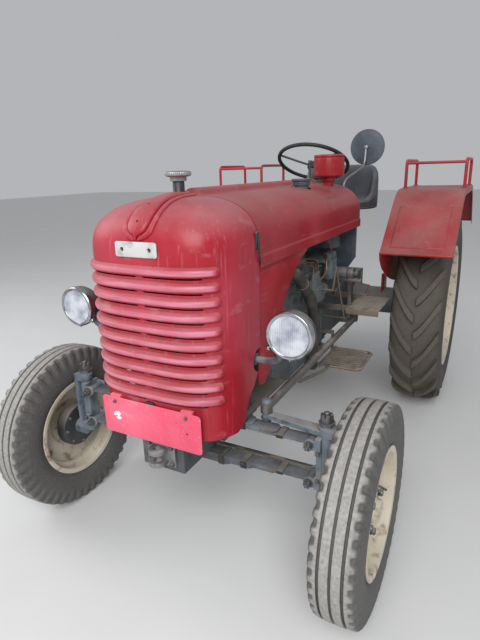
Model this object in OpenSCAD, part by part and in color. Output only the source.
// Vintage two-axle farm tractor. It faces -Y, its left side is +X, and it stands on z = 0.

/* [Chassis] */
// Distance between the front and rear axles
wheelbase = 1815; // [1800:5:1840]
// Distance between the centres of the front tyres
front_track = 1352; // [1348:2:1380]
// Distance between the centres of the rear tyres
rear_track = 1246; // [1240:2:1260]
// Distance from each kingpin to the centre of its tyre
kingpin_offset = 131; // [129:1:136]
// Radius of the kingpins
kingpin_r = 13; // [11:0.5:15]
// Radial clearance of pins and shafts that turn
running_gap = 0.05; // [0.02:0.01:0.09]

// Length of the engine block
engine_l = 540; // [530:5:550]
// Length of the bell housing
bell_l = 180; // [175:5:190]

/* [Tyres and rims] */
// Radius of the front tyres
front_tyre_r = 362; // [356:1:366]
// Full width of the front tyres
front_tyre_w = 156; // [150:2:160]
// Radius of the front bead seat
front_seat_r = 203; // [199:1:206]
// Radius of the rear tyres, out to the lug tips
rear_tyre_r = 602; // [596:1:606]
// Full width of the rear tyres
rear_tyre_w = 286; // [270:2:290]
// Radius of the rear bead seat
rear_seat_r = 356; // [350:1:360]
// Height of the rear lugs
lug_h = 32; // [24:1:36]
// Number of lugs on each side of a rear tyre
lug_count = 20; // [12:4:20]

/* [Nose and bonnet] */
// Half of the body's width
body_half_w = 280; // [270:1:286]
// Depth of the nose in front of the bonnet
nose_depth = 286; // [270:1:300]
// Height of the nose's lower edge
nose_bottom_z = 600; // [585:1:610]
// Height at which the body starts to round over
shoulder_z = 1200; // [1190:1:1210]
// Height of the body's crown
crown_z = 1378; // [1370:1:1386]
// Thickness of the pressed sheet
sheet_t = 4; // [3:0.5:5]
// Height of the bonnet's lower edge
bonnet_bottom_z = 1140; // [1130:1:1150]
// Height of the centre of the top grille bead
top_bead_z = 1166; // [1150:1:1170]
// Distance between grille beads
bead_pitch = 47; // [44:0.5:48]
// Number of grille beads
bead_count = 10; // [6:1:10]
// How far the beads stand out
bead_h = 13; // [8:1:16]

/* [Springs] */
// Height of the upper spring's eyes
upper_spring_z = 570; // [562:1:574]
// Height of the lower spring's eyes
lower_spring_z = 425; // [420:1:430]
// Width of the leaves
leaf_w = 60; // [50:1:66]
// Thickness of one leaf
leaf_t = 9; // [7:0.5:10]

/* [Cab] */
// Radius of the steering wheel
steering_wheel_r = 217; // [212:1:220]
// Backward tilt of the steering column
column_tilt = 28; // [27:0.5:29]
// Height of the fenders' flat top
fender_top_z = 1330; // [1315:1:1340]
// Width of the fenders
fender_w = 350; // [346:1:352]
// Height of the guard rails
rail_top_z = 1490; // [1460:1:1510]
// Height of the seat pan
seat_z = 1190; // [1170:1:1200]
// Width of the seat
seat_w = 450; // [420:5:470]

/* [Lamps] */
// Radius of the headlamps
lamp_r = 76; // [73:1:79]
// Distance of each headlamp from the centre line
lamp_x = 446; // [440:1:454]
// Height of the headlamps
lamp_z = 965; // [955:1:975]

/* [Hitches] */
// Radius of the front hitch's pin hole
front_hitch_hole_r = 14; // [12:0.5:15]
// Radius of the holes in the drawbar
drawbar_hole_r = 12; // [10:0.5:14]
// Radius of the power take-off shaft
pto_r = 17.4; // [17:0.1:18]

/* [Hidden] */
$fn = 48;

front_y = -(wheelbase + rear_tyre_r - front_tyre_r) / 2;
rear_y = front_y + wheelbase;
front_z = front_tyre_r;
rear_z = rear_tyre_r;
front_tyre_x = front_track / 2;
rear_tyre_x = rear_track / 2;
kingpin_x = front_tyre_x - kingpin_offset;

seam_y = front_y + 50;
nose_front_y = seam_y - nose_depth;
bonnet_gap = 5;
bonnet_y = seam_y + bonnet_gap;
plan_power = 3.6;
dome_power = 2.7;
dome_h = crown_z - shoulder_z;
ring_steps = 26;
bead_half_h = bead_pitch * 0.35;
bead_end_x = body_half_w - 30;

apron_x = body_half_w - 18;
core_half_w = body_half_w - 65;

engine_y = front_y + 390;
engine_end_y = engine_y + engine_l;
engine_half_w = 165;
engine_bottom_z = 500;
deck_z = 1000;
rocker_top_z = deck_z + 145;
bell_end_y = engine_end_y + bell_l;
bonnet_end_y = bell_end_y + 225;
bonnet_l = bonnet_end_y - bonnet_y;
panel_y = bonnet_end_y + 20;
panel_t = 6;
gearbox_end_y = rear_y - 130;
gearbox_half_w = 130;
gearbox_top_z = deck_z - 160;
seat_gap = 0.3;

eye_r = 17;
eye_bolt_r = 8;
eye_x = kingpin_x - 48;
post_r = 24;
spring_leaves = 4;
post_top_z = upper_spring_z + eye_r + 12;
post_bottom_z = lower_spring_z - eye_r - 8;
knuckle_gap = 1;
steer_arm_z = post_top_z + knuckle_gap;
arm_t = 30;
ball_x = kingpin_x - 235;
ball_y = front_y + 30;
ball_arm_t = 18;
eye_h = 36;
link_z = steer_arm_z + ball_arm_t + seat_gap + eye_h / 2;
tie_arm_l = 150;
tie_arm_t = 22;
tie_z = post_bottom_z - knuckle_gap - 24;

drop_pivot = [body_half_w - 5, bell_end_y + 115, gearbox_top_z + 50];
drop_arm_t = 18;
// The ball first swings 2 mm towards the drop arm
eye_gap = 2.6;
wheel_centre = [-60, bell_end_y + 400, crown_z + 110];
column_axis = [0, -sin(column_tilt), -cos(column_tilt)];
steering_box_top_z = gearbox_top_z + 145;
column_l = (wheel_centre[2] - steering_box_top_z) / cos(column_tilt);

// Half width of the bell housing at y, where it tapers
function bell_half_w(y) =
    engine_half_w - (engine_half_w - gearbox_half_w) * (y - engine_end_y - 30) / (bell_end_y - engine_end_y - 30);

// Signed power of a cosine or sine, which makes a superellipse
function sp(v, p) = sign(v) * pow(abs(v), 2 / p);

// Share of the full size that the dome keeps at height z
function dome_scale(z, inset) =
    let (t = max(0, (z - shoulder_z) / (dome_h - inset)))
    pow(max(0, 1 - pow(min(t, 1), dome_power)), 1 / dome_power);

// Y of the nose's outer face on the centre line at height z, and below the dome at distance x from it
function nose_face_y(z) = seam_y - nose_depth * dome_scale(z, 0);
function nose_plan_y(x) = seam_y - nose_depth * pow(1 - pow(abs(x) / body_half_w, plan_power), 1 / plan_power);

// Half outline of the nose at one height, from the left seam round the front to the right seam
function nose_ring(z, inset, bump) = [
    for (i = [0:ring_steps])
        let (t = i * 180 / ring_steps,
             s = dome_scale(z, inset),
             x = (body_half_w - inset) * s * sp(cos(t), plan_power),
             y = (nose_depth - inset) * s * sp(sin(t), plan_power),
             out = abs(x) < bead_end_x ? bump / nose_depth : 0)
        [x * (1 + out), seam_y - y * (1 + out), z]
];

// Arch of the bonnet's cross-section, from its left side over the crown
function bonnet_arch(inset) = [
    for (i = [0:24])
        let (t = i * 180 / 24)
        [(body_half_w - inset) * sp(cos(t), dome_power),
         shoulder_z + (dome_h - inset) * sp(sin(t), dome_power)]
];

// Closed skin over a stack of rings that have equal numbers of points
module skin(rings) {
    n = len(rings[0]);
    count = len(rings);
    points = [for (ring = rings) each ring];
    walls = [
        for (k = [0:count - 2], i = [0:n - 1])
            let (j = (i + 1) % n)
            each [[k * n + j, (k + 1) * n + j, (k + 1) * n + i], [k * n + j, (k + 1) * n + i, k * n + i]]
    ];
    floor_face = [for (i = [n - 1:-1:0]) i];
    roof_face = [for (i = [0:n - 1]) (count - 1) * n + i];
    polyhedron(points, concat(walls, [floor_face, roof_face]));
}

module block(low, high) {
    translate(low)
        cube(high - low);
}

module along_x(x0, x1, r) {
    translate([x0, 0, 0])
        rotate([0, 90, 0])
            cylinder(h = x1 - x0, r = r);
}

module along_y(y0, y1, r) {
    translate([0, y1, 0])
        rotate([90, 0, 0])
            cylinder(h = y1 - y0, r = r);
}

// Round bar between two points
module bar(p, q, r) {
    d = q - p;
    translate(p)
        rotate([0, acos(d[2] / norm(d)), atan2(d[1], d[0])])
            cylinder(h = norm(d), r = r);
}

// Round bar through a list of points, with slightly fuller balls at the bends
module bent_bar(points, r) {
    for (i = [0:len(points) - 2])
        bar(points[i], points[i + 1], r);
    for (i = [1:len(points) - 2])
        translate(points[i])
            sphere(r = r * 1.06);
}

// Outline drawn in the YZ plane and extruded from x0 to x1
module side_plate(x0, x1) {
    translate([x0, 0, 0])
        rotate([90, 0, 90])
            linear_extrude(x1 - x0)
                children();
}

module both_sides() {
    children();
    mirror([1, 0, 0])
        children();
}

// Section of radius and axial pairs turned about the X axis
module turned(section) {
    rotate([0, 90, 0])
        rotate_extrude()
            polygon(section);
}

module left_or_right(side) {
    if (side > 0)
        children();
    else
        mirror([1, 0, 0])
            children();
}

module engine_block() {
    color([0.24, 0.27, 0.28])
        union() {
            block([-engine_half_w, engine_y, engine_bottom_z], [engine_half_w, engine_end_y, deck_z]);
            block([-120, engine_y + 20, deck_z], [120, engine_end_y - 20, deck_z + 95]);
            block([-85, engine_y + 40, deck_z + 95], [85, engine_end_y - 40, rocker_top_z]);
            block([-110, engine_y + 30, engine_bottom_z - 60], [110, engine_end_y - 60, engine_bottom_z]);
            block([-130, engine_y - 40, engine_bottom_z], [130, engine_y, deck_z - 40]);
            for (i = [0:2], s = [-1, 1]) {
                // Side covers of the crankcase and bosses under the head
                cover_y = engine_y + 45 + i * 165;
                block([s > 0 ? engine_half_w : -engine_half_w - 9, cover_y, 640],
                      [s > 0 ? engine_half_w + 9 : -engine_half_w, cover_y + 120, 780]);
                block([s > 0 ? engine_half_w : -engine_half_w - 14, cover_y + 20, deck_z - 90],
                      [s > 0 ? engine_half_w + 14 : -engine_half_w, cover_y + 100, deck_z - 40]);
            }
            translate([0, 0, 720])
                along_y(engine_y - 62, engine_y - 40, 70);
            for (i = [0:2])
                translate([0, engine_y + 100 + i * 122, rocker_top_z])
                    cylinder(h = 12, r = 14);
            block([-apron_x + seat_gap, engine_y + 20, deck_z + 80], [apron_x - seat_gap, engine_y + 35, deck_z + 90]);
        }
}

// Dynamo on the right of the engine, with its shaft and pulley in line with the fan belt
module generator() {
    x = -engine_half_w - 72;
    z = 850;
    y0 = engine_y + 60;
    color([0.26, 0.30, 0.32])
        union() {
            translate([x, 0, z]) {
                along_y(y0, y0 + 180, 55);
                along_y(y0 - 12, y0, 48);
                along_y(engine_y - 40, y0 - 12, 12);
                along_y(engine_y - 62, engine_y - 40, 38);
            }
            block([x, y0 + 30, z - 66], [-engine_half_w - seat_gap, y0 + 150, z - 48]);
            block([x - 20, y0 + 30, z - 66], [x + 20, y0 + 150, z - 50]);
        }
}

module starter() {
    x = -engine_half_w - 58;
    z = 600;
    color([0.12, 0.12, 0.13])
        union() {
            translate([x, 0, z])
                along_y(engine_end_y - 190, engine_end_y - seat_gap, 48);
            translate([x, 0, z])
                along_y(engine_end_y - 205, engine_end_y - 190, 36);
            translate([x - 10, 0, z + 62])
                along_y(engine_end_y - 150, engine_end_y - 50, 24);
        }
}

module oil_filter() {
    x = -engine_half_w - 52;
    y = engine_y + 290;
    color([0.28, 0.33, 0.35])
        union() {
            translate([x, y, 650])
                cylinder(h = 140, r = 38);
            translate([x, y, 790])
                cylinder(h = 20, r = 43);
            block([x - 10, y - 24, 792], [-engine_half_w - seat_gap, y + 24, 808]);
        }
}

module exhaust() {
    port_y = [engine_y + 90, engine_y + 230];
    log_r = 30;
    pipe_r = 26;
    start = [190, engine_y + 60, deck_z + 40];
    elbow = [engine_half_w + 67, engine_y + 105, deck_z + 35];
    knee = [engine_half_w + 67, engine_y + 316, deck_z - 136];
    foot = [engine_half_w + 62, engine_y + 396, deck_z - 310];
    // The pipe goes down beside the engine, then back under the bell housing
    bottom = [engine_half_w + 31, engine_y + 437, deck_z - 480];
    sweep = [engine_half_w + 25, engine_y + 477, deck_z - 545];
    under = [gearbox_half_w - 20, engine_end_y + 38, engine_bottom_z - 60];
    tail = [under[0], bell_end_y + 118, under[2] - 4];
    color([0.36, 0.35, 0.33])
        union() {
            for (y = port_y)
                translate([0, y, deck_z + 40])
                    along_x(120, 190, 22);
            translate([190, 0, deck_z + 40])
                along_y(engine_y + 30, engine_y + 290, log_r);
            bent_bar([start, elbow, knee, foot, bottom, sweep, under, tail], pipe_r);
            // Strap between the pipe and the bottom of the gearbox
            block([tail[0] - 15, bell_end_y + 60, tail[2]], [tail[0] + 15, bell_end_y + 64, engine_bottom_z - seat_gap]);
        }
}

module fuel_pump() {
    pump_y = engine_end_y - 165;
    pump_x = engine_half_w + 62;
    filter_at = [210, engine_end_y + 75];
    color([0.30, 0.36, 0.38])
        union() {
            block([engine_half_w + seat_gap, pump_y + 20, 820], [pump_x, pump_y + 150, 890]);
            block([engine_half_w + 18, pump_y + 30, 890], [pump_x - 14, pump_y + 140, 930]);
            for (i = [0:2])
                translate([engine_half_w + 34, pump_y + 50 + i * 34, 930])
                    cylinder(h = 34, r = 11);
            translate([engine_half_w + 34, 0, 855])
                along_y(pump_y + 150, pump_y + 205, 30);
            // Two filter bowls on a bracket at the rear of the engine
            block([110, engine_end_y - 15, deck_z + seat_gap], [filter_at[0] + 20, filter_at[1] + 90, deck_z + 12]);
            for (y = [filter_at[1], filter_at[1] + 62]) {
                translate([filter_at[0], y, deck_z - 95])
                    cylinder(h = 96, r = 28);
                translate([filter_at[0], y, deck_z + 10])
                    cylinder(h = 26, r = 24);
            }
        }
}

module air_filter() {
    x = pre_cleaner_at[0];
    y = pre_cleaner_at[1];
    color([0.20, 0.22, 0.23])
        union() {
            translate([x, y, 1040])
                cylinder(h = 210, r = 70);
            translate([x, y, 1250])
                cylinder(h = inlet_top_z - 1250, r = 25);
            block([x - 20, y + 60, 1120], [x + 20, panel_y - seat_gap, 1150]);
        }
}

module bell_housing() {
    color([0.25, 0.27, 0.28])
        difference() {
            union() {
                hull() {
                    block([-engine_half_w, engine_end_y, engine_bottom_z], [engine_half_w, engine_end_y + 30, deck_z]);
                    block([-gearbox_half_w, bell_end_y - 30, engine_bottom_z + 40], [gearbox_half_w, bell_end_y, deck_z - 120]);
                }
                // Flange that the starter is bolted to
                block([-engine_half_w - 108, engine_end_y, 545], [-engine_half_w + 5, engine_end_y + 14, 680]);
            }
            block([-60, engine_end_y + 60, engine_bottom_z - 1], [60, bell_end_y - 40, engine_bottom_z + 30]);
        }
}

module gearbox() {
    color([0.25, 0.27, 0.28])
        union() {
            block([-gearbox_half_w, bell_end_y, engine_bottom_z], [gearbox_half_w, gearbox_end_y, gearbox_top_z]);
            block([-145, bell_end_y, engine_bottom_z], [145, bell_end_y + 25, gearbox_top_z]);
        }
}

module rear_axle() {
    trumpet_x = rear_tyre_x - 155;
    color([0.25, 0.27, 0.28])
        union() {
            block([-150, gearbox_end_y, rear_z - 150], [150, rear_y + 180, rear_z + 170]);
            translate([0, rear_y, rear_z])
                both_sides() {
                    rotate([0, 90, 0])
                        cylinder(h = 240, r1 = 130, r2 = 90);
                    along_x(200, trumpet_x, 85);
                    along_x(trumpet_x - 20, trumpet_x, 120);
                    along_x(trumpet_x, rear_tyre_x + 30, 30);
                }
            translate([0, 0, rear_z + 20])
                along_y(rear_y + 180, rear_y + 200, 55);
            translate([0, 0, rear_z + 20])
                along_y(rear_y + 200, rear_y + 285, pto_r);
        }
}

module front_frame() {
    low = lower_spring_z + leaf_t / 2;
    high = upper_spring_z - leaf_t / 2;
    spring_top_z = upper_spring_z + (spring_leaves - 0.5) * leaf_t;
    color([0.25, 0.27, 0.28])
        difference() {
            union() {
                block([-90, front_y - 190, low], [90, front_y + 150, high]);
                block([-110, front_y + 60, low], [110, engine_y - 40, high + 40]);
                block([-core_half_w - 15, front_y - 40, 605], [core_half_w + 15, front_y + 80, 620]);
                block([-body_half_w + 25, front_y - 40, 605], [body_half_w - 25, front_y + 330, 611]);
                block([-50, front_y - 30, spring_top_z], [50, front_y + 30, 605]);
                block([-40, nose_front_y + sheet_t + 1.5, 602], [40, front_y - 180, 610]);
                block([-40, front_y - 190, high - 5], [40, front_y - 175, 610]);
                block([-70, front_y + 60, high], [70, front_y + 80, 620]);
                for (x = [-200, 200])
                    block([x - 10, front_y + 60, high + 10], [x + 10, front_y + 80, 606]);
                block([-210, front_y + 60, high + 8], [210, front_y + 80, high + 28]);
            }
            block([-60, front_y - 191, low + 25], [60, front_y - 60, high - 25]);
        }
}

neck_r = 20;
// Height of the filler neck above the crown
neck_rise = 48;

module radiator() {
    low_z = 620;
    core_top_z = 1240;
    core = [low_z + 70, core_top_z];
    color([0.16, 0.16, 0.16])
        union() {
            block([-core_half_w - 10, front_y - 30, low_z], [core_half_w + 10, front_y + 60, core[0]]);
            block([-core_half_w, front_y - 20, core[0]], [core_half_w, front_y + 50, core[1]]);
            block([-core_half_w + 10, front_y - 30, core[1]], [core_half_w - 10, front_y + 60, core[1] + 85]);
            for (z = [900, 1130])
                both_sides()
                    block([core_half_w, front_y - 10, z], [body_half_w - sheet_t - 1.3, seam_y - 10, z + 30]);
            translate([0, front_y + 12, core[1] + 80])
                cylinder(h = crown_z + neck_rise - core[1] - 80, r = neck_r);
        }
}

module fan() {
    hub_y = front_y + 130;
    hub_z = 930;
    color([0.20, 0.21, 0.22])
        union() {
            translate([0, 0, hub_z])
                along_y(hub_y, engine_y - 40, 28);
            for (i = [0:3])
                translate([0, hub_y + 10, hub_z])
                    rotate([0, i * 90 + 20, 0])
                        rotate([0, 0, 25])
                            block([-30, -2, 20], [30, 2, 185]);
        }
}

// One grille bead as rows of height above its lower edge and share of its full bulge
bead_rows = [[0, 0], [0.2, 0.8], [0.5, 1], [0.8, 0.8], [1, 0]];

module nose_outer() {
    bead_z = [for (i = [bead_count - 1:-1:0]) top_bead_z - i * bead_pitch];
    bead_rings = [
        for (z = bead_z, row = bead_rows)
            nose_ring(z + (2 * row[0] - 1) * bead_half_h, 0, row[1] * bead_h)
    ];
    dome_rings = [
        for (i = [0:7])
            nose_ring(shoulder_z + dome_h * sin(i * 90 / 8), 0, 0)
    ];
    skin(concat([nose_ring(nose_bottom_z, 0, 0)], bead_rings, dome_rings,
                [nose_ring(shoulder_z + dome_h * 0.9995, 0, 0)]));
}

module nose_inner() {
    inner_h = dome_h - sheet_t;
    dome_rings = [
        for (i = [0:5])
            nose_ring(shoulder_z + inner_h * sin(i * 90 / 6), sheet_t, 0)
    ];
    skin(concat([nose_ring(nose_bottom_z - 1, sheet_t, 0)], dome_rings,
                [nose_ring(shoulder_z + inner_h * 0.999, sheet_t, 0)]));
}

// Place and slope of the dome's centre line, from the foot at 0 degrees to the seam at 90
function dome_at(a) =
    [seam_y - nose_depth * pow(cos(a), 2 / dome_power), shoulder_z + dome_h * pow(sin(a), 2 / dome_power)];
function dome_normal(a) = let (d = dome_at(a + 1) - dome_at(a - 1)) [-d[1], d[0]] / norm(d);

// Section across the raised strip: a low band outside, a groove, and a tongue in the middle
function strip_section(band_w, tongue_w, groove_h) = [
    [-band_w, -6], [-band_w, 2], [-band_w + 5, 7], [-tongue_w - 7, 7], [-tongue_w - 3, groove_h],
    [-tongue_w, groove_h], [1 - tongue_w, groove_h + 9], [-0.7 * tongue_w, groove_h + 13], [0, groove_h + 15],
    [0.7 * tongue_w, groove_h + 13], [tongue_w - 1, groove_h + 9], [tongue_w, groove_h],
    [tongue_w + 3, groove_h], [tongue_w + 7, 7], [band_w - 5, 7], [band_w, 2], [band_w, -6]
];

function strip_ring(a, band_w, tongue_w, groove_h) =
    let (c = dome_at(a), n = dome_normal(a))
    [for (q = strip_section(band_w, tongue_w, groove_h)) [q[0], c[0] + n[0] * q[1], c[1] + n[1] * q[1]]];

// Strip that runs from the seam over the dome to a rounded boss above the badge plate
module nose_strip() {
    // Angle, half width of the band, half width of the tongue, depth of the groove
    stations = [[13, 16, 2, -6], [14.5, 34, 3, -6], [17, 47, 8, 0], [19.5, 55, 24, 1], [23, 60, 34, 1], [29, 63, 40, 1],
                [38, 64, 42, 1], [50, 62, 41, 1], [60, 59, 37, 1], [68, 56, 33, 1], [78, 54, 32, 1], [88.9, 54, 32, 1]];
    skin([for (i = [len(stations) - 1:-1:0])
              strip_ring(stations[i][0], stations[i][1], stations[i][2], stations[i][3])]);
}

// Half-width slot under one bead, with round ends, as a cutter
module louvre(x0, x1, z) {
    hull()
        for (x = [x0, x1])
            translate([x, nose_front_y - 20, z])
                rotate([-90, 0, 0])
                    cylinder(h = 150, r = 3, $fn = 6);
}

module nose_shell() {
    // Rear edge below the lamp arm, as Y and Z from the seam
    lower_cut = [[10, 880], [0, 860], [-25, 770], [-90, 700], [-133, 616], [-170, 596], [10, 590]];
    color([0.72, 0.08, 0.10])
        difference() {
            union() {
                nose_outer();
                nose_strip();
            }
            translate([0, 0.5, 0])
                nose_inner();
            for (a = [30, 52])
                translate([0, dome_at(a)[0], dome_at(a)[1]])
                    rotate([atan2(dome_normal(a)[1], dome_normal(a)[0]) - 90, 0, 0])
                        cylinder(h = 60, r = 3.5, center = true, $fn = 12);
            side_plate(-400, 400)
                polygon([for (p = lower_cut) [seam_y + p[0], p[1]]]);
            translate([0, seam_y - 15, 815])
                along_x(-400, 400, 42);
            for (i = [0:bead_count - 1], side = [-1, 1])
                louvre(side * 16, side * (bead_end_x - 40), top_bead_z - i * bead_pitch - bead_half_h - 2);
            translate([0, front_y + 12, crown_z - 60])
                cylinder(h = 120, r = neck_r + 3);
            hull()
                for (p = [[-12, 712], [12, 700]])
                    translate([p[0], nose_front_y - 20, p[1]])
                        rotate([-90, 0, 0])
                            cylinder(h = 80, r = 13, $fn = 24);
        }
}

module badge_plate() {
    color([0.85, 0.84, 0.80])
        difference() {
            union() {
                block([-80, nose_front_y - 5, 1208], [80, nose_front_y - seat_gap, 1256]);
                for (x = [-53, 53])
                    translate([x, 0, 1232])
                        along_y(nose_front_y - 2, nose_face_y(1232) - seat_gap, 11);
            }
            for (x = [-53, 53])
                translate([x, 0, 1232])
                    along_y(nose_front_y - 6, nose_front_y + 9, 7);
        }
}

module number_plate() {
    plate_y = nose_front_y - 9;
    half_w = 206;
    plate_z = [566, 708];
    color([0.80, 0.10, 0.13])
        difference() {
            union() {
                block([-half_w, plate_y, plate_z[0]], [half_w, plate_y + 3, plate_z[1]]);
                for (x = [-150, 150])
                    block([x - 22, plate_y + 3, plate_z[1] - 16], [x + 22, nose_plan_y(x - 22 * sign(x)) - seat_gap, plate_z[1] + 6]);
            }
            for (x = [-150, 150])
                translate([x, 0, plate_z[1] - 75])
                    along_y(plate_y - 1, plate_y + 4, 4);
        }
}

module front_hitch() {
    y0 = front_y - 190;
    pin_y = front_y - 222;
    z = (upper_spring_z + lower_spring_z) / 2;
    ear_gap = 30;
    ear_t = 16;
    color([0.42, 0.43, 0.43])
        difference() {
            union() {
                block([-60, y0 - 12, z - 45], [60, y0, z + 45]);
                for (s = [-1, 1])
                    translate([0, 0, z + s * (ear_gap + ear_t) / 2 - ear_t / 2]) {
                        block([-32, pin_y, 0], [32, y0 - 6, ear_t]);
                        translate([0, pin_y, 0])
                            cylinder(h = ear_t, r = 32);
                    }
            }
            translate([0, pin_y, z - 50])
                cylinder(h = 100, r = front_hitch_hole_r);
        }
}

module side_aprons() {
    apron_y = seam_y + 12;
    // Lower and rear edge as Y from the front edge and Z
    outline = [[0, 700], [40, 690], [95, 715], [150, 800], [200, 900], [240, 955], [285, 1010],
               [345, 1062], [410, 1098], [500, 1130], [500, 1150], [0, 1150]];
    color([0.80, 0.08, 0.12])
        both_sides()
            side_plate(apron_x, apron_x + sheet_t)
                polygon([for (p = outline) [apron_y + p[0], p[1]]]);
}

module bonnet_section(inset) {
    skirt = 5;
    edge = body_half_w - inset;
    polygon(concat(
        [[edge + skirt, bonnet_bottom_z - inset], [edge + skirt, bonnet_bottom_z + 38],
         [edge, bonnet_bottom_z + 46]],
        bonnet_arch(inset),
        [[-edge, bonnet_bottom_z + 46], [-edge - skirt, bonnet_bottom_z + 38],
         [-edge - skirt, bonnet_bottom_z - inset]]));
}

hinge_y = bonnet_end_y + 6;
hinge_z = crown_z + 8;
hinge_r = 5;
tank_y = [engine_y + 210, bell_end_y];
tank_z = [bonnet_bottom_z + 20, crown_z - 78];
fuel_cap_at = [body_half_w - 162, (tank_y[0] + tank_y[1]) / 2];
pre_cleaner_at = [body_half_w - 140, bell_end_y + 90];
inlet_top_z = crown_z - 48;

module bonnet() {
    color([0.70, 0.08, 0.10])
        difference() {
            union() {
                translate([0, bonnet_end_y, 0])
                    rotate([90, 0, 0])
                        linear_extrude(bonnet_l)
                            difference() {
                                bonnet_section(0);
                                bonnet_section(sheet_t);
                            }
                translate([0, bonnet_end_y - 15, 0])
                    rotate([90, 0, 0])
                        linear_extrude(bonnet_l - 40)
                            polygon([[46, crown_z - 4], [30, crown_z + 16], [12, crown_z + 23],
                                     [-12, crown_z + 23], [-30, crown_z + 16], [-46, crown_z - 4]]);
                for (x = [-90, 90]) {
                    translate([0, hinge_y, hinge_z])
                        along_x(x - 25, x + 25, 9);
                    block([x - 25, bonnet_end_y - 40, crown_z - 6], [x + 25, bonnet_end_y - 1, crown_z + 6]);
                    block([x - 25, bonnet_end_y - 4, crown_z], [x + 25, hinge_y, crown_z + 6]);
                }
            }
            translate([0, hinge_y, hinge_z])
                along_x(-150, 150, hinge_r + running_gap);
            translate([fuel_cap_at[0], fuel_cap_at[1], crown_z - 60])
                cylinder(h = 100, r = 48);
            translate([pre_cleaner_at[0], pre_cleaner_at[1], crown_z - 60])
                cylinder(h = 100, r = 27);
        }
}

module radiator_cap() {
    color([0.60, 0.60, 0.58])
        translate([0, front_y + 12, 0])
            union() {
                translate([0, 0, crown_z + neck_rise + seat_gap])
                    cylinder(h = 14, r = 28);
                translate([0, 0, crown_z + neck_rise + 14])
                    cylinder(h = 4, r1 = 34, r2 = 45);
                translate([0, 0, crown_z + neck_rise + 18])
                    cylinder(h = 12, r = 45);
                translate([0, 0, crown_z + neck_rise + 30])
                    cylinder(h = 4, r1 = 45, r2 = 37);
            }
}

module fuel_tank() {
    color([0.30, 0.30, 0.30])
        union() {
            block([65 - body_half_w, tank_y[0], tank_z[0]], [body_half_w - 65, tank_y[1], tank_z[1]]);
            for (y = [tank_y[0] + 50, tank_y[0] + 250])
                block([-60, y, rocker_top_z], [60, y + 30, tank_z[0]]);
            translate([fuel_cap_at[0], fuel_cap_at[1], tank_z[1]])
                cylinder(h = crown_z - tank_z[1], r = 33);
        }
}

module fuel_cap() {
    color([0.45, 0.52, 0.58])
        translate([fuel_cap_at[0], fuel_cap_at[1], crown_z])
            union() {
                cylinder(h = 22, r = 40);
                translate([0, 0, 22])
                    cylinder(h = 10, r = 47);
            }
}

module pre_cleaner() {
    can_r = 80;
    color([0.72, 0.08, 0.10])
        translate([pre_cleaner_at[0], pre_cleaner_at[1], 0])
            union() {
                translate([0, 0, inlet_top_z + seat_gap])
                    cylinder(h = crown_z + 20 - inlet_top_z, r = 26);
                translate([0, 0, crown_z + 7])
                    cylinder(h = 26, r = 34);
                translate([0, 0, crown_z + 31])
                    cylinder(h = 95, r = can_r);
                translate([0, 0, crown_z + 126])
                    cylinder(h = 3, r = can_r - 4);
                translate([0, 0, crown_z + 129])
                    cylinder(h = 10, r = can_r);
                translate([0, 0, crown_z + 139])
                    cylinder(h = 5, r1 = can_r, r2 = can_r - 7);
            }
}

module dashboard() {
    color([0.22, 0.23, 0.24])
        union() {
            difference() {
                translate([0, panel_y + panel_t, 0])
                    rotate([90, 0, 0])
                        linear_extrude(panel_t)
                            polygon(concat([[body_half_w - 60, 900], [body_half_w - 20, 960], [body_half_w - 20, 1180]],
                                           bonnet_arch(20),
                                           [[20 - body_half_w, 1180], [20 - body_half_w, 960], [60 - body_half_w, 900]]));
                bar(wheel_centre, wheel_centre + column_axis * column_l, 20 + seat_gap);
            }
            translate([0, hinge_y, hinge_z])
                along_x(-120, 120, hinge_r);
            for (x = [-50, 50])
                block([x - 8, hinge_y - 6, crown_z - 60], [x + 8, panel_y + 1, hinge_z + 6]);
            for (x = [-110, 90])
                block([x, panel_y, gearbox_top_z], [x + 20, panel_y + 60, 980]);
            // Pull knob on a post at the top of the panel
            translate([-30, panel_y + 20, crown_z - 45])
                cylinder(h = 150, r = 6);
            translate([-30, panel_y + 20, crown_z + 105])
                cylinder(h = 16, r = 11);
            block([-40, panel_y, crown_z - 50], [-20, panel_y + 28, crown_z - 38]);
        }
}

module steering_gear() {
    foot = wheel_centre + column_axis * (column_l + 20);
    color([0.24, 0.26, 0.27])
        union() {
            bar(wheel_centre + column_axis * (44 + seat_gap), foot, 20);
            block([-120, drop_pivot[1] - 75, gearbox_top_z], [0, drop_pivot[1] + 75, steering_box_top_z]);
            translate([0, drop_pivot[1], drop_pivot[2]])
                along_x(-10, drop_pivot[0] - 20, 30);
            translate([0, drop_pivot[1], drop_pivot[2]])
                along_x(drop_pivot[0] - 20, drop_pivot[0] + 14, 15);
        }
}

module steering_wheel() {
    rim_r = 11;
    color([0.05, 0.05, 0.05])
        translate(wheel_centre)
            rotate([-column_tilt, 0, 0])
                union() {
                    rotate_extrude()
                        translate([steering_wheel_r - rim_r, 0])
                            circle(r = rim_r);
                    for (a = [90, 210, 330])
                        bar([0, 0, -20], [(steering_wheel_r - rim_r) * cos(a), (steering_wheel_r - rim_r) * sin(a), 0], 7);
                    translate([0, 0, -44])
                        cylinder(h = 44, r = 30);
                }
}

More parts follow.
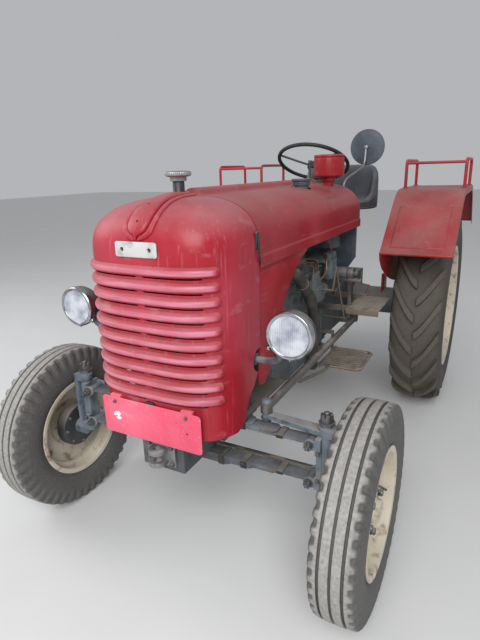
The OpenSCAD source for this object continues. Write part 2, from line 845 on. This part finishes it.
module drop_arm() {
    shaft_r = 15 + running_gap;
    color([0.26, 0.28, 0.29])
        difference() {
            union() {
                translate([0, drop_pivot[1], drop_pivot[2]])
                    along_x(drop_pivot[0] - 15, drop_pivot[0] + 15, 32);
                side_plate(drop_pivot[0] - drop_arm_t / 2, drop_pivot[0] + drop_arm_t / 2)
                    polygon([[drop_pivot[1] - 26, drop_pivot[2]], [drop_pivot[1] + 26, drop_pivot[2]],
                             [drop_pivot[1] + 16, link_z], [drop_pivot[1] - 16, link_z]]);
                translate([0, drop_pivot[1], link_z])
                    along_x(drop_pivot[0] - drop_arm_t / 2, drop_pivot[0] + drop_arm_t / 2, 20);
            }
            translate([0, drop_pivot[1], drop_pivot[2]])
                along_x(drop_pivot[0] - 40, drop_pivot[0] + 40, shaft_r);
        }
}

module drag_link() {
    front_eye = [ball_x, ball_y, link_z];
    rear_eye = [drop_pivot[0] + drop_arm_t / 2 + eye_gap + 18, drop_pivot[1], link_z];
    color([0.36, 0.36, 0.35])
        union() {
            bar(front_eye, rear_eye, 16);
            translate(front_eye - [0, 0, eye_h / 2])
                cylinder(h = eye_h, r = 22);
            translate(rear_eye)
                along_x(-18, 14, 22);
        }
}

module tie_rod() {
    y = front_y + tie_arm_l;
    eye_top_z = tie_z - 10 - seat_gap;
    rod_eye_h = 28;
    color([0.28, 0.29, 0.30])
        union() {
            translate([0, y, eye_top_z - rod_eye_h / 2])
                along_x(-kingpin_x, kingpin_x, 11);
            for (x = [-kingpin_x, kingpin_x])
                translate([x, y, eye_top_z - rod_eye_h])
                    cylinder(h = rod_eye_h, r = 18);
        }
}

// Pack of flat leaves across the tractor, with an eye at each end of the main leaf
module leaf_spring(eye_z, grow) {
    clip_t = 3;
    color([0.40, 0.41, 0.42])
        difference() {
            union() {
                block([-eye_x, front_y - leaf_w / 2, eye_z - leaf_t / 2],
                      [eye_x, front_y + leaf_w / 2, eye_z + leaf_t / 2]);
                for (i = [1:spring_leaves - 1]) {
                    half = eye_x - 30 - i * 95;
                    z0 = eye_z + grow * i * leaf_t - leaf_t / 2;
                    block([-half, front_y - leaf_w / 2, z0], [half, front_y + leaf_w / 2, z0 + leaf_t]);
                }
                for (x = [-eye_x, eye_x])
                    translate([x, 0, eye_z])
                        along_y(front_y - leaf_w / 2, front_y + leaf_w / 2, eye_r);
                // Clips, each round the leaves that reach its place
                for (clip = [[145, 4], [240, 3], [385, 1]], s = [-1, 1]) {
                    z = [eye_z - grow * (leaf_t / 2 + clip_t), eye_z + grow * ((clip[1] - 0.5) * leaf_t + clip_t)];
                    block([s * clip[0] - 12, front_y - leaf_w / 2 - clip_t, min(z)],
                          [s * clip[0] + 12, front_y + leaf_w / 2 + clip_t, max(z)]);
                }
            }
            for (x = [-eye_x, eye_x])
                translate([x, 0, eye_z])
                    along_y(front_y - leaf_w, front_y + leaf_w, eye_bolt_r + running_gap);
        }
}

module upper_spring() {
    leaf_spring(upper_spring_z, 1);
}

module lower_spring() {
    leaf_spring(lower_spring_z, -1);
}

module kingpin_posts() {
    ear_t = 10;
    ear_y = leaf_w / 2 + 1;
    color([0.36, 0.40, 0.44])
        both_sides()
            difference() {
                union() {
                    translate([kingpin_x, front_y, post_bottom_z])
                        cylinder(h = post_top_z - post_bottom_z, r = post_r);
                    for (zone = [[post_bottom_z + 2, lower_spring_z + eye_r + 8], [upper_spring_z - eye_r - 8, post_top_z - 2]])
                        block([eye_x + eye_r + 3, front_y - ear_y - ear_t, zone[0]],
                              [kingpin_x - 8, front_y + ear_y + ear_t, zone[1]]);
                    block([eye_x + eye_r + 3, front_y - ear_y + 6, post_bottom_z + 2],
                          [kingpin_x - 8, front_y + ear_y - 6, post_top_z - 2]);
                    for (z = [upper_spring_z, lower_spring_z], s = [-1, 1])
                        translate([0, front_y + s * (ear_y + ear_t / 2), 0]) {
                            translate([eye_x, 0, z])
                                along_y(-ear_t / 2, ear_t / 2, eye_r + 3);
                            block([eye_x, -ear_t / 2, z - eye_r], [kingpin_x - 10, ear_t / 2, z + eye_r]);
                        }
                    for (z = [upper_spring_z, lower_spring_z])
                        translate([eye_x, 0, z])
                            along_y(front_y - ear_y - ear_t - 8, front_y + ear_y + ear_t + 8, eye_bolt_r);
                }
                translate([kingpin_x, front_y, post_bottom_z - 1])
                    cylinder(h = post_top_z - post_bottom_z + 2, r = kingpin_r + running_gap);
            }
}

// Fork round the kingpin post, with the stub axle and the arm of the tie rod
module knuckle() {
    yoke_x = kingpin_x + post_r + 6;
    yoke_t = 16;
    top_z = steer_arm_z + arm_t;
    bottom_z = tie_z - 10;
    translate([kingpin_x, front_y, bottom_z])
        cylinder(h = top_z + 14 - bottom_z, r = kingpin_r);
    translate([kingpin_x, front_y, top_z])
        cylinder(h = 16, r = 18);
    for (zone = [[steer_arm_z, top_z], [bottom_z, post_bottom_z - knuckle_gap]]) {
        translate([kingpin_x, front_y, zone[0]])
            cylinder(h = zone[1] - zone[0], r = 27);
        block([kingpin_x, front_y - 27, zone[0]], [yoke_x + yoke_t, front_y + 27, zone[1]]);
    }
    block([yoke_x, front_y - 27, bottom_z], [yoke_x + yoke_t, front_y + 27, top_z]);
    translate([0, front_y, front_z]) {
        along_x(yoke_x, front_tyre_x - 56, 34);
        along_x(front_tyre_x - 56, front_tyre_x + 36, 20);
    }
    block([kingpin_x - 14, front_y, bottom_z], [kingpin_x + 14, front_y + tie_arm_l, bottom_z + tie_arm_t]);
    translate([kingpin_x, front_y + tie_arm_l, bottom_z])
        cylinder(h = tie_arm_t, r = 20);
}

module knuckle_left() {
    color([0.36, 0.40, 0.44])
        union() {
            knuckle();
            hull() {
                translate([kingpin_x, front_y, steer_arm_z])
                    cylinder(h = ball_arm_t, r = 24);
                translate([ball_x, ball_y, steer_arm_z])
                    cylinder(h = ball_arm_t, r = 16);
            }
        }
}

module knuckle_right() {
    color([0.36, 0.40, 0.44])
        mirror([1, 0, 0])
            knuckle();
}

// Rim, disc and hub about the X axis, with the outer face towards +X
module front_wheel(side) {
    s = front_seat_r;
    rim = [[s + 17, 70], [s - 4, 67], [s - 6, 30], [s - 24, 22], [s - 24, -22], [s - 6, -30], [s - 4, -67],
           [s + 17, -70], [s + 17, -64], [s + 2, -61], [s, -25], [s - 18, -17], [s - 18, 17], [s, 25],
           [s + 2, 61], [s + 17, 64]];
    disc = [[s - 20, 10], [150, 24], [110, 26], [96, 36], [50, 36], [50, 30], [93, 30], [107, 20], [147, 18],
            [s - 20, 4]];
    hub = [[20 + running_gap, -54], [92, -54], [96, -48], [96, -10], [70, 4], [60, 33], [42, 36], [38, 62],
           [0, 62], [0, 52], [20 + running_gap, 52]];
    color([0.80, 0.76, 0.62])
        left_or_right(side)
            translate([front_tyre_x, front_y, front_z])
                union() {
                    turned(rim);
                    turned(disc);
                    turned(hub);
                }
}

module front_wheel_left() {
    front_wheel(1);
}

module front_wheel_right() {
    front_wheel(-1);
}

// Half section of a front tyre with two ribs on each side of a thin centre groove, as radius and axial pairs
function front_tyre_half() =
    let (w = front_tyre_w / 2, r = front_tyre_r, s = front_seat_r)
    [[s + 2.5, w - 17.5], [s + 19, w - 17.5], [s + 40, w - 5], [s + 85, w], [r - 42, w - 3], [r - 18, w - 8],
     [r - 5, w - 14], [r - 2, w - 26], [r - 1, w - 38], [r - 11, w - 40], [r - 11, w - 48], [r, w - 50], [r, 1.5],
     [r - 7, 1]];

module front_tyre(side) {
    half = front_tyre_half();
    n = len(half);
    section = concat(half, [for (i = [n - 1:-1:0]) [half[i][0], -half[i][1]]]);
    color([0.16, 0.16, 0.16])
        left_or_right(side)
            translate([front_tyre_x, front_y, front_z])
                turned(section, $fn = 48);
}

module front_tyre_left() {
    front_tyre(1);
}

module front_tyre_right() {
    front_tyre(-1);
}

module rear_wheel(side) {
    s = rear_seat_r;
    rim = [[s + 19, 132], [s - 5, 128], [s - 7, 40], [s - 32, 28], [s - 32, -28], [s - 7, -40], [s - 5, -128],
           [s + 19, -132], [s + 19, -124], [s + 2, -121], [s, -34], [s - 24, -22], [s - 24, 22], [s, 34],
           [s + 2, 121], [s + 19, 124]];
    disc = [[s - 28, 12], [270, 24], [200, 10], [150, -30], [60, -30], [60, -38], [153, -38], [203, 2], [270, 16],
            [s - 28, 4]];
    hub = [[30 + running_gap, -120], [85, -120], [85, -60], [75, -30], [62, 6], [45, 30], [45, 48], [0, 48],
           [0, 38], [30 + running_gap, 38]];
    color([0.80, 0.76, 0.62])
        left_or_right(side)
            translate([rear_tyre_x, rear_y, rear_z])
                union() {
                    turned(rim);
                    turned(disc);
                    turned(hub);
                }
}

module rear_wheel_left() {
    rear_wheel(1);
}

module rear_wheel_right() {
    rear_wheel(-1);
}

// Half thickness of a lug at its tip
lug_half_t = 29;

function rear_tyre_half() =
    let (w = rear_tyre_w / 2, r = rear_tyre_r - lug_h, s = rear_seat_r)
    [[s + 4, w - 24], [s + 22, w - 24], [s + 60, w - 4], [s + 110, w], [r - 40, w - 12], [r - 8, w - 45]];

// Slanted lug on the +X half of the tread, whose tip corners lie on the tyre's radius
module lug() {
    base_r = rear_tyre_r - lug_h - 14;
    half_t = lug_half_t;
    sweep = -17;
    w = rear_tyre_w / 2;
    tip_z = sqrt(pow(rear_tyre_r, 2) - pow(half_t, 2));
    hull() {
        block([2, -half_t, base_r], [12, half_t, tip_z]);
        rotate([sweep, 0, 0])
            block([w - 30, -half_t, base_r - 30], [w - 12, half_t, tip_z - 12]);
    }
}

module rear_tyre(side) {
    half = rear_tyre_half();
    n = len(half);
    section = concat(half, [for (i = [n - 1:-1:0]) [half[i][0], -half[i][1]]]);
    pitch = 360 / lug_count;
    // Turns one tip corner exactly to the bottom and to the rear
    phase = asin(lug_half_t / rear_tyre_r);
    color([0.15, 0.15, 0.15])
        left_or_right(side)
            translate([rear_tyre_x, rear_y, rear_z])
                union() {
                    turned(section, $fn = 40);
                    for (i = [0:lug_count - 1]) {
                        rotate([i * pitch + phase, 0, 0])
                            lug();
                        rotate([(i + 0.5) * pitch + phase, 0, 0])
                            mirror([1, 0, 0])
                                lug();
                    }
                }
}

module rear_tyre_left() {
    rear_tyre(1);
}

module rear_tyre_right() {
    rear_tyre(-1);
}

lamp_y = front_y - 98;

module headlamps() {
    root = [body_half_w - 12, front_y + 35, 815];
    // Bezel and bucket as radius and depth behind the glass
    bucket = [[0, 0], [lamp_r - 4, 0], [lamp_r, 3], [lamp_r + 3, 12], [lamp_r + 4, 26], [lamp_r - 1, 50],
              [lamp_r - 16, 74], [lamp_r - 40, 91], [0, 98]];
    color([0.10, 0.10, 0.10])
        both_sides()
            union() {
                translate([lamp_x, lamp_y, lamp_z])
                    rotate([-90, 0, 0])
                        rotate_extrude()
                            polygon(bucket);
                bent_bar([root, root + [47, -5, 3], [lamp_x - 76, front_y - 12, lamp_z - 123],
                          [lamp_x - 26, front_y - 46, lamp_z - 50]], 13);
                block([core_half_w + seat_gap, front_y + 20, 795], [body_half_w - 8, front_y + 50, 835]);
            }
}

fender_x = [445, 445 + fender_w];

// Side outline of a fender's path from the front lip to the rear lip, as Y from the rear axle and Z
// Columns: Y, depth below the top, and the share of the drop that moves the point along Y and down
fender_points = [[-705, 300, 0.64, 0.77], [-399, 45, 0.58, 0.81], [-365, 22, 0.47, 0.88], [-325, 8, 0.25, 0.97],
                 [-260, 0, 0.06, 1], [205, 0, -0.06, 1], [270, 8, -0.25, 0.97], [310, 24, -0.47, 0.88],
                 [345, 50, -0.6, 0.8], [585, 250, -0.64, 0.77]];
fender_end = len(fender_points) - 1;
function fender_path(drop) = [for (p = fender_points) [p[0] + drop * p[2], fender_top_z - p[1] - drop * p[3]]];

module fender(side) {
    outer = fender_path(0);
    inner = fender_path(sheet_t);
    lip = fender_path(35);
    slope = [outer[1] - outer[0], [outer[0][1] - outer[1][1], outer[1][0] - outer[0][0]] / norm(outer[1] - outer[0])];
    panel = [for (q = [[0.12, -0.5], [0.14, 4], [0.90, 4], [0.92, -0.5]]) outer[0] + slope[0] * q[0] + slope[1] * q[1]];
    plate_low = [[585 - 4, 1050], [420, 900], [200, 780], [-200, 780], [-450, 850], [-640, 940], [-700, 1000]];
    color([0.70, 0.10, 0.10])
        left_or_right(side)
            translate([0, rear_y, 0])
                union() {
                    side_plate(fender_x[0], fender_x[1])
                        polygon(concat(outer, [for (i = [fender_end:-1:0]) inner[i]]));
                    side_plate(fender_x[0], fender_x[0] + sheet_t)
                        polygon(concat(outer, plate_low));
                    side_plate(fender_x[1] - sheet_t, fender_x[1])
                        polygon(concat(outer, [for (i = [fender_end:-1:0]) lip[i]]));
                    side_plate(fender_x[0] + 42, fender_x[1] - 42)
                        polygon(panel);
                    translate([0, outer[0][0], outer[0][1]])
                        along_x(fender_x[0], fender_x[1], 8);
                    translate([0, outer[fender_end][0], outer[fender_end][1]])
                        along_x(fender_x[0], fender_x[1], 8);
                    block([330, -60, 780], [fender_x[0] + 1, 60, 786]);
                    difference() {
                        block([330, -60, 640], [342, 60, 786]);
                        translate([0, 0, rear_z])
                            along_x(300, 360, 85 + seat_gap);
                    }
                }
}

module fender_left() {
    fender(1);
}

module fender_right() {
    fender(-1);
}

module guard_rails() {
    x = [fender_x[0] + 18, fender_x[1] - 18];
    y = [rear_y - 185, rear_y + 185];
    r = 9;
    bend = 22;
    top = rail_top_z - r;
    base = fender_top_z + seat_gap;
    color([0.70, 0.10, 0.10])
        both_sides()
            union() {
                // Side rails, each one bent tube with both its posts
                for (xx = x)
                    bent_bar([[xx, y[0], base + 2], [xx, y[0], top - bend], [xx, y[0] + bend * 0.4, top - bend * 0.4],
                              [xx, y[0] + bend, top], [xx, y[1] - bend, top], [xx, y[1] - bend * 0.4, top - bend * 0.4],
                              [xx, y[1], top - bend], [xx, y[1], base + 2]], r);
                // Front cross rail, bent down into the posts
                bent_bar([[x[0], y[0], top - bend - 14], [x[0] + bend * 0.4, y[0], top - bend * 0.4 - 14],
                          [x[0] + bend, y[0], top - 14], [x[1] - bend, y[0], top - 14],
                          [x[1] - bend * 0.4, y[0], top - bend * 0.4 - 14], [x[1], y[0], top - bend - 14]], r - 1);
                for (xx = x, yy = y)
                    translate([xx, yy, base])
                        cylinder(h = 4, r = 16);
            }
}

// Rounded outline of the seat, drawn in from its edge by inset
function seat_outline(inset) = [
    for (i = [0:31])
        let (t = i * 360 / 32)
        [(seat_w / 2 - inset) * sp(cos(t), 2.8), rear_y + 140 + (seat_w / 2 - 50 - inset) * sp(sin(t), 2.8)]
];

module seat() {
    pad_t = 42;
    back_y = rear_y + 140 + seat_w / 2 - 50;
    color([0.12, 0.12, 0.13])
        union() {
            difference() {
                translate([0, 0, seat_z])
                    linear_extrude(60)
                        polygon(seat_outline(0));
                translate([0, 0, seat_z + 20])
                    linear_extrude(60)
                        polygon(seat_outline(pad_t));
            }
            // Back and arms, lower towards the front
            intersection() {
                translate([0, 0, seat_z + 20])
                    linear_extrude(270)
                        difference() {
                            polygon(seat_outline(0));
                            polygon(seat_outline(pad_t));
                        }
                side_plate(-seat_w, seat_w)
                    polygon([[rear_y - 60, seat_z], [rear_y + 40, seat_z + 60], [rear_y + 110, seat_z + 110],
                             [rear_y + 170, seat_z + 190], [rear_y + 220, seat_z + 250], [rear_y + 262, seat_z + 280],
                             [back_y + 10, seat_z + 288], [back_y + 10, seat_z]]);
            }
        }
}

module seat_spring() {
    color([0.30, 0.30, 0.30])
        union() {
            block([-35, rear_y - 120, rear_z + 170], [35, rear_y + 20, rear_z + 182]);
            block([-35, rear_y - 120, rear_z + 182], [35, rear_y - 108, seat_z - 60]);
            side_plate(-35, 35)
                polygon([[rear_y - 120, seat_z - 72], [rear_y + 200, seat_z - 12], [rear_y + 200, seat_z - 2],
                         [rear_y - 120, seat_z - 60]]);
            block([-60, rear_y + 60, seat_z - 12], [60, rear_y + 200, seat_z - seat_gap]);
        }
}

module footplates() {
    x = [drop_pivot[0] + 35, drop_pivot[0] + 205];
    y = [bell_end_y - 100, bell_end_y + 200];
    z = 750;
    bracket_y = [drop_pivot[1] - 144, drop_pivot[1] + 130];
    color([0.42, 0.39, 0.34])
        both_sides()
            union() {
                block([x[0], y[0], z - 5], [x[1], y[1], z]);
                block([x[0], y[0], z - 30], [x[1], y[0] + 4, z]);
                // The brackets lie in front of and behind the sweep of the drop arm
                for (yy = bracket_y)
                    block([max(gearbox_half_w, bell_half_w(yy) + seat_gap), yy, z - 35], [x[0] + 30, yy + 14, z - 5]);
                block([x[0] + 16, bracket_y[0], z - 35], [x[0] + 30, bracket_y[1] + 14, z - 5]);
            }
}

module steps() {
    x = [200, 415];
    y = [bell_end_y - 170, bell_end_y + 105];
    z = 450;
    bars = 9;
    frame_r = 8;
    bend = 22;
    hanger_x = 250;
    color([0.45, 0.42, 0.36])
        both_sides()
            union() {
                // Frame: a flat bar on the inner side, and a round bar bent round the other three
                block([x[0] - 6, y[0] - 12, z - 20], [x[0] + 6, y[1] + 12, z + 1]);
                bent_bar([[x[0], y[0], z - frame_r], [x[1] - bend, y[0], z - frame_r],
                          [x[1] - bend * 0.4, y[0] + bend * 0.4, z - frame_r], [x[1], y[0] + bend, z - frame_r],
                          [x[1], y[1] - bend, z - frame_r], [x[1] - bend * 0.4, y[1] - bend * 0.4, z - frame_r],
                          [x[1] - bend, y[1], z - frame_r], [x[0], y[1], z - frame_r]], frame_r);
                for (i = [1:bars])
                    translate([0, y[0] + i * (y[1] - y[0]) / (bars + 1), z - frame_r])
                        along_x(x[0], x[1], 6);
                // Hanger at the gearbox, and a bar forwards to the side of the engine
                block([x[0] - 6, y[1] - 70, z - 14], [x[0], y[1] - 30, z + 110]);
                block([gearbox_half_w, y[1] - 70, z + 100], [x[0], y[1] - 30, z + 110]);
                block([gearbox_half_w, y[1] - 70, z + 55], [gearbox_half_w + 8, y[1] - 30, z + 110]);
                bent_bar([[hanger_x, y[0] + 2, z - frame_r], [hanger_x, y[0] - 85, z - 4],
                          [hanger_x - 20, y[0] - 377, z + 52], [hanger_x - 28, y[0] - 392, z + 66],
                          [engine_half_w + seat_gap, y[0] - 392, z + 66]], 8);
            }
}

module controls() {
    pedal_z = 889;
    pedal_y = bell_end_y - 20;
    pedal_x = [drop_pivot[0] - 34, drop_pivot[0] + 89];
    rod_x = drop_pivot[0] + 25;
    color([0.30, 0.31, 0.30])
        union() {
            both_sides() {
                along_shaft = [gearbox_half_w + 60, pedal_y + 90, 780];
                translate([0, along_shaft[1], along_shaft[2]])
                    along_x(gearbox_half_w + seat_gap, along_shaft[0] + 20, 16);
                bent_bar([along_shaft, along_shaft + [30, -60, 30], [pedal_x[0] + 20, pedal_y + 15, pedal_z - 8]], 9);
                block([pedal_x[0], pedal_y, pedal_z - 12], [pedal_x[1], pedal_y + 28, pedal_z]);
            }
            // Gear lever and range lever on the gearbox
            for (lever = [[40, 60, 1120], [-50, -66, 1020]]) {
                bent_bar([[lever[0], bell_end_y + 350, gearbox_top_z + 4], [lever[0], bell_end_y + 365, lever[2] - 120],
                          [lever[1], bell_end_y + 420, lever[2]]], 7);
                translate([lever[1], bell_end_y + 420, lever[2] + 8])
                    sphere(r = 19);
                translate([lever[0], bell_end_y + 350, gearbox_top_z + seat_gap])
                    cylinder(h = 30, r1 = 34, r2 = 14);
            }
            // Clutch and governor rod, from the rear of the pump down to the bell housing
            bent_bar([[engine_half_w + 62 + seat_gap, engine_end_y - 80, 880], [rod_x - 12, engine_end_y - 80, 880],
                      [rod_x, engine_end_y - 77, 992], [rod_x, bell_end_y - 86, 691],
                      [bell_half_w(bell_end_y - 86) + 2, bell_end_y - 86, 691]], 5);
        }
}

module rear_mirror() {
    disc = [236, wheel_centre[1] + 90, crown_z + 186];
    foot = [170, panel_y + panel_t + 6 + seat_gap, shoulder_z + 90];
    color([0.12, 0.13, 0.15])
        union() {
            translate(disc)
                along_y(0, 14, 100);
            translate(disc)
                along_y(-22, 1, 11);
            bent_bar([foot, foot + [6, 4, 96], disc + [-3, -24, -102], disc + [-1, -14, -4]], 6);
        }
}

module drawbar() {
    bar_y = rear_y + 500;
    z = 430;
    holes = 5;
    pitch = 100;
    color([0.30, 0.30, 0.30])
        difference() {
            union() {
                block([-300, bar_y, z - 10], [300, bar_y + 70, z + 10]);
                both_sides() {
                    bar([260, bar_y + 20, z], [125, rear_y + 192, rear_z - 110], 16);
                    block([100, rear_y + 180, rear_z - 145], [150, rear_y + 200, rear_z - 75]);
                }
            }
            for (i = [0:holes - 1])
                translate([(i - (holes - 1) / 2) * pitch, bar_y + 35, z - 20])
                    cylinder(h = 40, r = drawbar_hole_r);
        }
}

// Round lamps on short feet on the rear slopes of the fenders
module tail_lamps() {
    high = fender_path(0)[fender_end - 1];
    low = fender_path(0)[fender_end];
    fall = (low[1] - high[1]) / (low[0] - high[0]);
    at = [fender_x[0] + 70, (high[0] + low[0]) / 2];
    foot_z = high[1] + (at[1] - high[0]) * fall;
    color([0.10, 0.10, 0.10])
        both_sides()
            translate([at[0], rear_y, 0]) {
                side_plate(-12, 12)
                    polygon([[at[1] - 14, foot_z - 14 * fall + 2 * seat_gap], [at[1] + 14, foot_z + 14 * fall + 2 * seat_gap],
                             [at[1] + 14, foot_z + 60], [at[1] - 14, foot_z + 60]]);
                translate([0, 0, foot_z + 70])
                    along_y(at[1] - 28, at[1] + 20, 36);
            }
}

engine_block();
generator();
starter();
oil_filter();
exhaust();
fuel_pump();
air_filter();
bell_housing();
gearbox();
rear_axle();
front_frame();
radiator();
fan();
nose_shell();
badge_plate();
number_plate();
front_hitch();
side_aprons();
bonnet();
radiator_cap();
fuel_tank();
fuel_cap();
pre_cleaner();
dashboard();
steering_gear();
steering_wheel();
drop_arm();
drag_link();
tie_rod();
upper_spring();
lower_spring();
kingpin_posts();
knuckle_left();
knuckle_right();
front_wheel_left();
front_wheel_right();
front_tyre_left();
front_tyre_right();
rear_wheel_left();
rear_wheel_right();
rear_tyre_left();
rear_tyre_right();
headlamps();
fender_left();
fender_right();
guard_rails();
seat();
seat_spring();
footplates();
steps();
controls();
rear_mirror();
drawbar();
tail_lamps();
